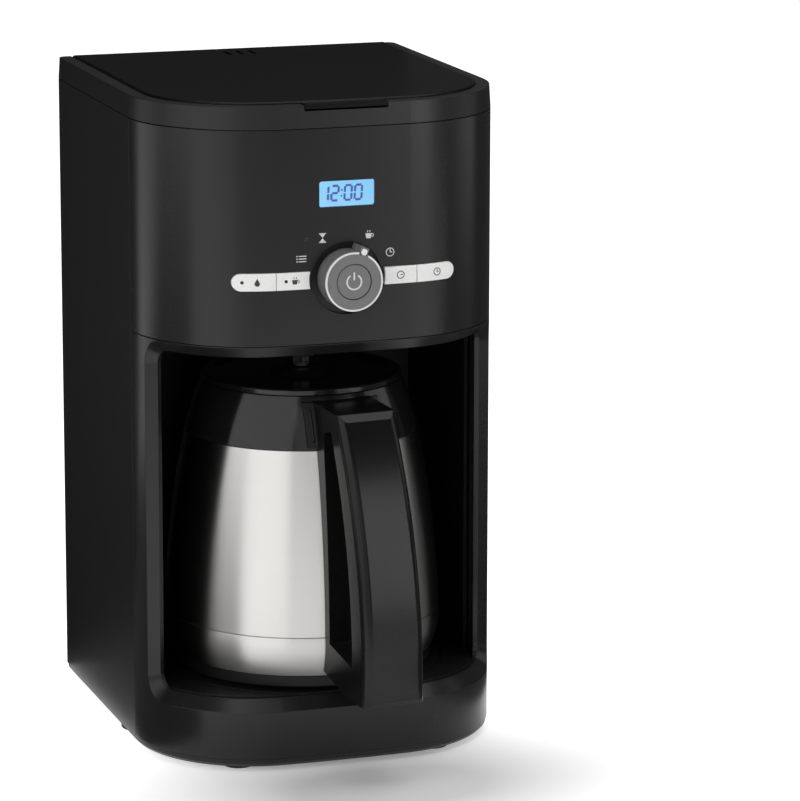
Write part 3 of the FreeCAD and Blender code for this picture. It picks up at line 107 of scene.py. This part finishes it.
class Shader:
    """A node material with one Principled shader, and short ways to add detail to it."""

    def __init__(self, name, colour, roughness, **sockets):
        self.material = bpy.data.materials.new(name)
        self.material.use_nodes = True
        self.tree = self.material.node_tree
        self.principled = self.tree.nodes["Principled BSDF"]
        self.set(self.principled, "Base Color", (*colour, 1.0))
        self.set(self.principled, "Roughness", roughness)
        for key, value in sockets.items():
            self.set(self.principled, key.replace("_", " "), value)
        self.colour = colour
        self.roughness = roughness
        self.coordinates = self.node("ShaderNodeTexCoord").outputs["Object"]

    def node(self, kind, **values):
        made = self.tree.nodes.new(kind)
        for key, value in values.items():
            setattr(made, key, value)
        return made

    def set(self, node, socket, value):
        node.inputs[socket].default_value = value

    def link(self, output, target):
        self.tree.links.new(output, target)

    def stretched(self, scale):
        """Object coordinates with a scale on each axis."""
        mapping = self.node("ShaderNodeMapping")
        self.set(mapping, "Scale", scale)
        self.link(self.coordinates, mapping.inputs["Vector"])
        return mapping.outputs["Vector"]

    def noise(self, scale, detail=2.0, stretch=None, distortion=0.0):
        texture = self.node("ShaderNodeTexNoise")
        self.set(texture, "Scale", scale)
        self.set(texture, "Detail", detail)
        self.set(texture, "Distortion", distortion)
        vector = self.stretched(stretch) if stretch else self.coordinates
        self.link(vector, texture.inputs["Vector"])
        return texture.outputs["Fac"]

    def spread(self, factor, low, high, start=0.3, stop=0.7):
        """A factor laid over a range of values."""
        ramp = self.node("ShaderNodeMapRange")
        self.set(ramp, "From Min", start)
        self.set(ramp, "From Max", stop)
        self.set(ramp, "To Min", low)
        self.set(ramp, "To Max", high)
        self.link(factor, ramp.inputs["Value"])
        return ramp.outputs["Result"]

    def combined(self, operation, one, other):
        node = self.node("ShaderNodeMath", operation=operation)
        self.link(one, node.inputs[0])
        self.link(other, node.inputs[1])
        return node.outputs["Value"]

    def product(self, one, other):
        return self.combined("MULTIPLY", one, other)

    def total(self, one, other):
        return self.combined("ADD", one, other)

    def vary_roughness(self, factor, amount):
        low = max(0.02, self.roughness - amount)
        drift = self.spread(factor, low, self.roughness + amount)
        self.link(drift, self.principled.inputs["Roughness"])
        return self

    def vary_colour(self, factor, other):
        """Drifts the base colour towards another one."""
        mix = self.node("ShaderNodeMix", data_type="RGBA")
        mix.inputs[6].default_value = (*self.colour, 1.0)
        mix.inputs[7].default_value = (*other, 1.0)
        self.link(self.spread(factor, 0.0, 1.0), mix.inputs[0])
        self.link(mix.outputs[2], self.principled.inputs["Base Color"])
        return self

    def bump(self, factor, strength, height, edge=0.0):
        """Fine relief, over edges that catch the light as if rounded by a small radius."""
        bump = self.node("ShaderNodeBump")
        self.set(bump, "Strength", strength)
        self.set(bump, "Distance", height)
        self.link(factor, bump.inputs["Height"])
        if edge:
            bevel = self.node("ShaderNodeBevel", samples=BEVEL_SAMPLES)
            self.set(bevel, "Radius", edge)
            self.link(bevel.outputs["Normal"], bump.inputs["Normal"])
        self.link(bump.outputs["Normal"], self.principled.inputs["Normal"])
        return self


def plastic(name, colour, roughness, grain=2200.0, relief=0.08, specular=0.5, edge=0.35):
    """Moulded plastic with a fine spark grain and a gloss that drifts a little."""
    shader = Shader(name, colour, roughness, Specular_IOR_Level=specular)
    shader.vary_roughness(shader.noise(40.0, 1.0), 0.008)
    lighter = tuple(min(1.0, c * 1.1 + 0.001) for c in colour)
    shader.vary_colour(shader.noise(grain * 0.6, 2.0), lighter)
    shader.bump(shader.noise(grain, 3.0), relief, 0.03 * MM, edge * MM)
    return shader.material


def brushed(name, colour, roughness, stretch, relief=0.06, turn=0.6):
    """Metal with brush lines along the directions that are stretched least, and upright gleams."""
    shader = Shader(name, colour, roughness, Metallic=1.0, Anisotropic=turn,
                    Anisotropic_Rotation=QUARTER_TURN)
    lines = shader.noise(1.0, 2.0, stretch)
    shader.vary_roughness(lines, 0.02)
    darker = tuple(c * 0.97 for c in colour)
    shader.vary_colour(lines, darker)
    shader.bump(lines, relief, 0.005 * MM, 0.3 * MM)
    tangent = shader.node("ShaderNodeTangent", direction_type="RADIAL", axis="Z")
    shader.link(tangent.outputs["Tangent"], shader.principled.inputs["Tangent"])
    return shader.material


def cast_metal(name, colour, roughness, grain=900.0, relief=0.3):
    shader = Shader(name, colour, roughness, Metallic=1.0)
    shader.vary_roughness(shader.noise(160.0, 3.0), 0.08)
    shader.vary_colour(shader.noise(grain, 3.0), tuple(c * 0.7 for c in colour))
    shader.bump(shader.noise(grain, 4.0), relief, 0.06 * MM)
    return shader.material


def rubber(name, colour, roughness):
    shader = Shader(name, colour, roughness, Specular_IOR_Level=0.3)
    shader.vary_roughness(shader.noise(120.0, 2.0), 0.06)
    shader.vary_colour(shader.noise(700.0, 2.0), tuple(c * 1.5 + 0.003 for c in colour))
    shader.bump(shader.noise(2200.0, 2.0), 0.3, 0.05 * MM)
    return shader.material


def clear(name, colour, roughness, transmission):
    shader = Shader(name, colour, roughness, Transmission_Weight=transmission, IOR=1.46)
    shader.vary_roughness(shader.noise(90.0, 3.0), roughness * 0.5)
    shader.bump(shader.noise(300.0, 2.0), 0.03, 0.03 * MM)
    return shader.material


def backlit(name, colour, edge):
    """Lit panel that is a little darker where its light is further away."""
    shader = Shader(name, (0.01, 0.02, 0.03), 0.4, Emission_Strength=1.0)
    mix = shader.node("ShaderNodeMix", data_type="RGBA")
    mix.inputs[6].default_value = (*colour, 1.0)
    mix.inputs[7].default_value = (*edge, 1.0)
    shader.link(shader.spread(shader.noise(55.0, 2.0), 0.0, 1.0), mix.inputs[0])
    shader.link(mix.outputs[2], shader.principled.inputs["Emission Color"])
    shader.bump(shader.noise(3000.0, 1.0), 0.05, 0.01 * MM)
    return shader.material


def screen_mesh(name, colour, pitch):
    """Etched metal sheet with rows of fine holes, painted rather than cut: each hole is painted
    shade.
    """
    shader = Shader(name, colour, 0.3, Metallic=1.0)
    holes = shader.node("ShaderNodeTexVoronoi", feature="F1")
    shader.set(holes, "Scale", 1.0 / pitch)
    shader.set(holes, "Randomness", 0.15)
    shader.link(shader.coordinates, holes.inputs["Vector"])
    # Painted shade: the middle of each hole is painted near-black in place of an opening
    hole_shade = shader.spread(holes.outputs["Distance"], 1.0, 0.0, 0.25, 0.4)
    shader.vary_colour(hole_shade, (0.02, 0.015, 0.01))
    shader.bump(holes.outputs["Distance"], 0.4, 0.08 * MM)
    return shader.material


def ink(name, colour):
    shader = Shader(name, colour, 0.45)
    shader.vary_roughness(shader.noise(900.0, 2.0), 0.1)
    shader.vary_colour(shader.noise(1500.0, 2.0), tuple(c * 0.88 for c in colour))
    return shader.material


FINISHES = {
    "body_black": plastic("body_black", (0.009, 0.009, 0.0094), 0.36,
                          relief=0.04, specular=0.35, edge=0.5),
    "front_black": plastic("front_black", (0.010, 0.010, 0.0104), 0.26,
                           relief=0.02, specular=0.33, edge=0.4),
    "lid_black": plastic("lid_black", (0.003, 0.003, 0.0032), 0.34,
                         relief=0.04, specular=0.12, edge=0.6),
    "inner_black": plastic("inner_black", (0.004, 0.004, 0.004), 0.45, 1200.0, 0.15, 0.25),
    "clear_tank": clear("clear_tank", (0.62, 0.65, 0.67), 0.18, 0.75),
    "rubber_black": rubber("rubber_black", (0.012, 0.012, 0.012), 0.75),
    "hose_silicone": rubber("hose_silicone", (0.6, 0.6, 0.56), 0.45),
    "zinc_steel": cast_metal("zinc_steel", (0.56, 0.56, 0.58), 0.3, 1500.0, 0.15),
    "spring_steel": cast_metal("spring_steel", (0.5, 0.5, 0.51), 0.28, 1500.0, 0.12),
    "cast_aluminium": cast_metal("cast_aluminium", (0.58, 0.58, 0.6), 0.5),
    "white_plastic": plastic("white_plastic", (0.7, 0.7, 0.67), 0.45),
    "thermostat_metal": cast_metal("thermostat_metal", (0.55, 0.55, 0.56), 0.35, 1200.0, 0.15),
    "filter_gold": screen_mesh("filter_gold", (0.62, 0.44, 0.16), 0.6 * MM),
    "valve_grey": plastic("valve_grey", (0.03, 0.03, 0.031), 0.5),
    "circuit_board": plastic("circuit_board", (0.02, 0.13, 0.05), 0.4, 700.0, 0.2),
    "lcd_blue": backlit("lcd_blue", (0.25, 0.64, 0.955), (0.21, 0.57, 0.92)),
    "display_clear": clear("display_clear", (0.97, 0.98, 1.0), 0.03, 1.0),
    "led_dark": plastic("led_dark", (0.012, 0.012, 0.012), 0.15, 2500.0, 0.05),
    "knob_black": plastic("knob_black", (0.17, 0.17, 0.171), 0.28, 2200.0, 0.05),
    "knob_trim": plastic("knob_trim", (0.82, 0.82, 0.81), 0.25, 2600.0, 0.03),
    "pointer_white": plastic("pointer_white", (0.88, 0.88, 0.87), 0.35, 1500.0, 0.06),
    "key_silver": plastic("key_silver", (0.9, 0.9, 0.89), 0.32, 2600.0, 0.03, edge=0.25),
    "carafe_steel": brushed("carafe_steel", (0.64, 0.632, 0.615), 0.34,
                            (6.0, 6.0, 9000.0), 0.03, 0.88),
    "flask_steel": brushed("flask_steel", (0.6, 0.6, 0.6), 0.3, (20.0, 20.0, 4000.0), 0.1),
    "carafe_black": plastic("carafe_black", (0.006, 0.006, 0.0062), 0.14, 2200.0, 0.02, 0.42),
    "handle_black": plastic("handle_black", (0.006, 0.006, 0.0062), 0.22, 2200.0, 0.03, 0.22),
}
# Nodes that are duller than the rest of their slot
DULL_NODES = {"carafe_cap": "inner_black"}
WHITE_INK = ink("white_ink", (0.78, 0.78, 0.77))
DARK_INK = ink("dark_ink", (0.035, 0.035, 0.038))
SEGMENT_INK = backlit("segment_ink", (0.0, 0.03, 0.33), (0.0, 0.025, 0.3))


def finish_nodes():
    for part in frame["record"]["subparts"]:
        node = nodes[part["node"]]
        for slot in node.material_slots:
            slot.material = FINISHES[DULL_NODES.get(part["node"], part["material_slot"])]


# Prints: flat marks in millimetres, laid on the face of a CAD node

def stroke(start, end, width):
    """A straight bar between two points."""
    a, b = Vector(start), Vector(end)
    side = (b - a).orthogonal().normalized() * width / 2
    return [[a - side, b - side, b + side, a + side]]


def arc(centre, radius, width, start=0.0, stop=360.0):
    """A round line as a row of four-sided faces."""
    steps = max(4, round(ARC_STEPS * abs(stop - start) / 360))
    faces = []
    for index in range(steps):
        ends = []
        for share in (index / steps, (index + 1) / steps):
            angle = math.radians(start + (stop - start) * share)
            way = Vector((math.cos(angle), math.sin(angle)))
            near, far = way * (radius - width / 2), way * (radius + width / 2)
            ends.append((Vector(centre) + near, Vector(centre) + far))
        faces.append([ends[0][0], ends[0][1], ends[1][1], ends[1][0]])
    return faces


def dot(centre, radius):
    points = []
    for index in range(ARC_STEPS):
        angle = 2 * math.pi * index / ARC_STEPS
        points.append(Vector(centre) + Vector((math.cos(angle), math.sin(angle))) * radius)
    return [points]


def shape(*points):
    return [[Vector(p) for p in points]]


def moved(faces, x, z, size=1.0):
    return [[p * size + Vector((x, z)) for p in face] for face in faces]


def print_on(name, node, body, faces, material):
    """Lays faces, given in millimetres across and up, on the front of a CAD node."""
    carrier = nodes[node]
    mesh = bpy.data.meshes.new(name)
    build = bmesh.new()
    for face in faces:
        corners = []
        for point in face:
            start = Vector((point.x * MM, -1.0, point.y * MM))
            found, place, normal, index = carrier.ray_cast(start, Vector((0, 1, 0)))
            if not found:
                raise ValueError(f"{name} has a point beside {node}")
            corners.append(build.verts.new(place - Vector((0, PRINT_LIFT, 0))))
        build.faces.new(corners)
    bmesh.ops.remove_doubles(build, verts=build.verts, dist=0.002 * MM)
    bmesh.ops.recalc_face_normals(build, faces=build.faces)
    for face in build.faces:
        if face.normal.y > 0:
            face.normal_flip()
    build.to_mesh(mesh)
    build.free()
    mesh.materials.append(material)
    piece = bpy.data.objects.new(name, mesh)
    scene.collection.objects.link(piece)
    thick = piece.modifiers.new("thickness", "SOLIDIFY")
    thick.thickness = PRINT_THICKNESS
    thick.offset = 1.0
    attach(piece, body)
    return piece


def middle_of(node):
    """Middle of a CAD node across and up, in millimetres."""
    low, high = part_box(node)
    return (low.x + high.x) / 2 / MM, (low.z + high.z) / 2 / MM


# Lit bars of each number on the clock
SEGMENTS = {"0": "abcdef", "1": "bc", "2": "abged"}


def digit(character, width, height, thick, gap):
    """One number of the clock as its lit bars, with its lower left corner at zero."""
    half = height / 2
    bars = {
        "a": ((gap, height), (width - gap, height)),
        "b": ((width, half + gap), (width, height - gap)),
        "c": ((width, gap), (width, half - gap)),
        "d": ((gap, 0), (width - gap, 0)),
        "e": ((0, gap), (0, half - gap)),
        "f": ((0, half + gap), (0, height - gap)),
        "g": ((gap, half), (width - gap, half)),
    }
    faces = []
    for bar in SEGMENTS[character]:
        faces += stroke(*bars[bar], thick)
    return faces


def clock_digits():
    """Twelve o'clock in seven bar numbers, leaning a little."""
    height, width, pitch, lean = 7.6, 3.7, 5.5, 0.06
    across, up = middle_of("display_lens")
    left = across - 13.4
    faces = []
    for place, character in ((0.0, "1"), (1.0, "2"), (2.3, "0"), (3.3, "0")):
        faces += moved(digit(character, width, height, 1.15, 0.35), place * pitch, 0)
    for level in (0.3, 0.7):
        faces += moved(dot((0, 0), 0.5), 2.12 * pitch - 0.7, height * level)
    leaning = [[Vector((p.x + p.y * lean, p.y)) for p in face] for face in faces]
    placed = moved(leaning, left, up - height / 2)
    print_on("clock_digits", "lcd_module", "housing", placed, SEGMENT_INK)


def power_mark():
    across, up = middle_of("power_button")
    faces = arc((0, 0), 3.9, 0.85, 122.0, 418.0) + stroke((0, 0.9), (0, 5.1), 0.85)
    placed = moved(faces, across, up)
    print_on("power_mark", "power_button", "power", placed, WHITE_INK)


def cup_mark():
    bowl = shape((-2.0, 1.1), (-1.5, -1.5), (1.0, -1.5), (1.5, 1.1))
    handle = arc((1.5, 0.1), 0.85, 0.4, -80.0, 90.0)
    steam = stroke((-0.9, 1.7), (-0.6, 2.7), 0.4) + stroke((0.4, 1.7), (0.7, 2.7), 0.4)
    return bowl + handle + steam


def clock_mark(hand, reach=2.1):
    ring = arc((0, 0), reach, 0.45)
    return ring + stroke((0, -0.2), (0, hand), 0.45) + stroke((-0.2, 0), (1.1, 0), 0.45)


def list_mark():
    faces = []
    for level in (1.4, 0.0, -1.4):
        faces += dot((-2.4, level), 0.36) + stroke((-1.5, level), (2.6, level), 0.5)
    return faces


def glass_mark():
    """An hourglass."""
    upper = shape((-1.5, 2.0), (0, 0.1), (1.5, 2.0))
    lower = shape((-1.5, -2.0), (1.5, -2.0), (0, -0.1))
    bars = stroke((-1.9, 2.3), (1.9, 2.3), 0.45) + stroke((-1.9, -2.3), (1.9, -2.3), 0.45)
    return upper + lower + bars


def drop_mark():
    points = [Vector((0, 2.1))]
    for index in range(25):
        angle = math.radians(150.0 + 240.0 * index / 24)
        points.append(Vector((1.35 * math.cos(angle), -0.7 + 1.35 * math.sin(angle))))
    return [points]


def panel_marks():
    """White signs around the selector, one at each of its places."""
    across, up = middle_of("selector_knob")
    faces = moved(list_mark(), across - 24.6, up + 10.0)
    faces += moved(glass_mark(), across - 13.3, up + 20.4)
    faces += moved(cup_mark(), across + 11.9, up + 20.4)
    faces += moved(clock_mark(1.5), across + 23.5, up + 10.9)
    print_on("panel_marks", "control_panel", "housing", faces, WHITE_INK)


def key_marks():
    marks = {
        "clean": moved(drop_mark(), 2.0, 0),
        "batch": moved(cup_mark(), 1.0, -0.3, 0.9),
        "hour": clock_mark(0.0, 1.9),
        "minute": clock_mark(1.3, 1.9),
    }
    for name, faces in marks.items():
        across, up = middle_of(name + "_button")
        placed = moved(faces, across, up)
        print_on(name + "_mark", name + "_button", name + "_key", placed, DARK_INK)


# Stage

def floor():
    """Pale floor. Seen by the eye, in metal or through glass it has the white of a lit sweep.
    In an ellipse in front of the machine the white is held back as a painted shadow, inside which
    the lamps' own shadow shows.
    """
    shader = Shader("floor", (0.8, 0.8, 0.8), 0.7, Specular_IOR_Level=0.1)
    shader.vary_colour(shader.noise(3.0, 2.0), (0.82, 0.82, 0.82))
    path = shader.node("ShaderNodeLightPath")
    axes = shader.node("ShaderNodeSeparateXYZ")
    shader.link(shader.coordinates, axes.inputs["Vector"])
    left = shader.spread(axes.outputs["X"], SWEEP_LEFT_REACH, 0.0, *SWEEP_LEFT)
    front = shader.spread(shader.total(axes.outputs["Y"], left), 0.0, 1.0, *SWEEP_FRONT)
    shown = shader.total(path.outputs["Is Glossy Ray"], path.outputs["Is Transmission Ray"])
    seen = shader.total(path.outputs["Is Camera Ray"], shader.product(shown, front))
    # Painted shadow: no glow in the middle of an ellipse in front of the machine, rising to the
    # full glow at its rim
    far = shader.node("ShaderNodeVectorMath", operation="DISTANCE")
    shader.link(shader.stretched(PAINTED_SHADOW_SQUEEZE), far.inputs[0])
    far.inputs[1].default_value = PAINTED_SHADOW_PLACE
    painted_shadow_glow = shader.spread(far.outputs["Value"], 0.0, SWEEP_GLOW, *PAINTED_SHADOW_SPAN)
    shader.set(shader.principled, "Emission Color", (1.0, 1.0, 1.0, 1.0))
    shader.link(shader.product(seen, painted_shadow_glow), shader.principled.inputs["Emission Strength"])
    bpy.ops.mesh.primitive_plane_add(size=FLOOR_SIZE, location=(0, 0, 0))
    plane = bpy.context.object
    plane.name = "floor"
    plane.data.materials.append(shader.material)


def standing(line):
    """Corners of a card that stands on a line."""
    (x0, y0), (x1, y1) = line
    return ((x0, y0, 0.0), (x1, y1, 0.0), (x1, y1, CARD_HEIGHT), (x0, y0, CARD_HEIGHT))


def flat(plan):
    """Corners of a card that lies just over the floor."""
    return tuple((x, y, CARD_LIFT) for x, y in plan)


def dark_card(name, corners, level):
    """A card that only reflections see, to keep the plastic deep."""
    shader = Shader(name, (0.004, 0.004, 0.004), 0.9,
                    Specular_IOR_Level=0.0, Emission_Strength=level)
    shader.vary_colour(shader.noise(40.0, 2.0), (0.006, 0.006, 0.006))
    shader.set(shader.principled, "Emission Color", (1.0, 1.0, 1.0, 1.0))
    mesh = bpy.data.meshes.new(name)
    mesh.from_pydata(corners, [], [range(len(corners))])
    mesh.materials.append(shader.material)
    card = bpy.data.objects.new(name, mesh)
    scene.collection.objects.link(card)
    card.visible_camera = False
    card.visible_diffuse = False
    card.visible_shadow = False


def dark_cards():
    dark_card("back_card", standing(BACK_CARD), BACK_LEVEL)
    dark_card("left_card", flat(LEFT_CARD), FLOOR_LEVEL)
    dark_card("right_wall", standing(RIGHT_WALL), WALL_LEVEL)
    dark_card("right_card", flat(RIGHT_CARD), FLOOR_LEVEL)


def area_light(name, place, target, size, power):
    light = bpy.data.lights.new(name, "AREA")
    light.shape = "RECTANGLE"
    light.size, light.size_y = size
    light.energy = power
    lamp = bpy.data.objects.new(name, light)
    scene.collection.objects.link(lamp)
    lamp.location = place
    lamp.rotation_euler = (Vector(target) - Vector(place)).to_track_quat("-Z", "Y").to_euler()


def lights():
    """Softboxes, in a world that is white to the eye and almost dark to the object."""
    world = bpy.data.worlds.new("studio")
    world.use_nodes = True
    tree = world.node_tree
    background = tree.nodes["Background"]
    background.inputs["Color"].default_value = (1.0, 1.0, 1.0, 1.0)
    path = tree.nodes.new("ShaderNodeLightPath")
    white = tree.nodes.new("ShaderNodeMath")
    white.operation = "MAXIMUM"
    white.inputs[1].default_value = WORLD_STRENGTH
    tree.links.new(path.outputs["Is Camera Ray"], white.inputs[0])
    tree.links.new(white.outputs["Value"], background.inputs["Strength"])
    scene.world = world
    for lamp in LAMPS:
        area_light(*lamp)


def camera():
    """The photograph's view: level but for a small roll, turned and tilted by two angles."""
    ahead = Vector((math.sin(CAMERA_YAW) * math.cos(CAMERA_PITCH),
                    math.cos(CAMERA_YAW) * math.cos(CAMERA_PITCH), -math.sin(CAMERA_PITCH)))
    right = Vector((math.cos(CAMERA_YAW), -math.sin(CAMERA_YAW), 0))
    up = right.cross(ahead)
    across = right * math.cos(CAMERA_ROLL) + up * math.sin(CAMERA_ROLL)
    upright = up * math.cos(CAMERA_ROLL) - right * math.sin(CAMERA_ROLL)
    data = bpy.data.cameras.new("camera")
    data.sensor_width = CAMERA_SENSOR
    data.lens = CAMERA_LENS
    data.shift_x, data.shift_y = CAMERA_SHIFT
    view = bpy.data.objects.new("camera", data)
    scene.collection.objects.link(view)
    axes = Matrix((across, upright, -ahead)).transposed().to_4x4()
    view.matrix_world = Matrix.Translation(CAMERA_PLACE) @ axes
    scene.camera = view


finish_nodes()
clock_digits()
power_mark()
panel_marks()
key_marks()
floor()
dark_cards()
lights()
camera()
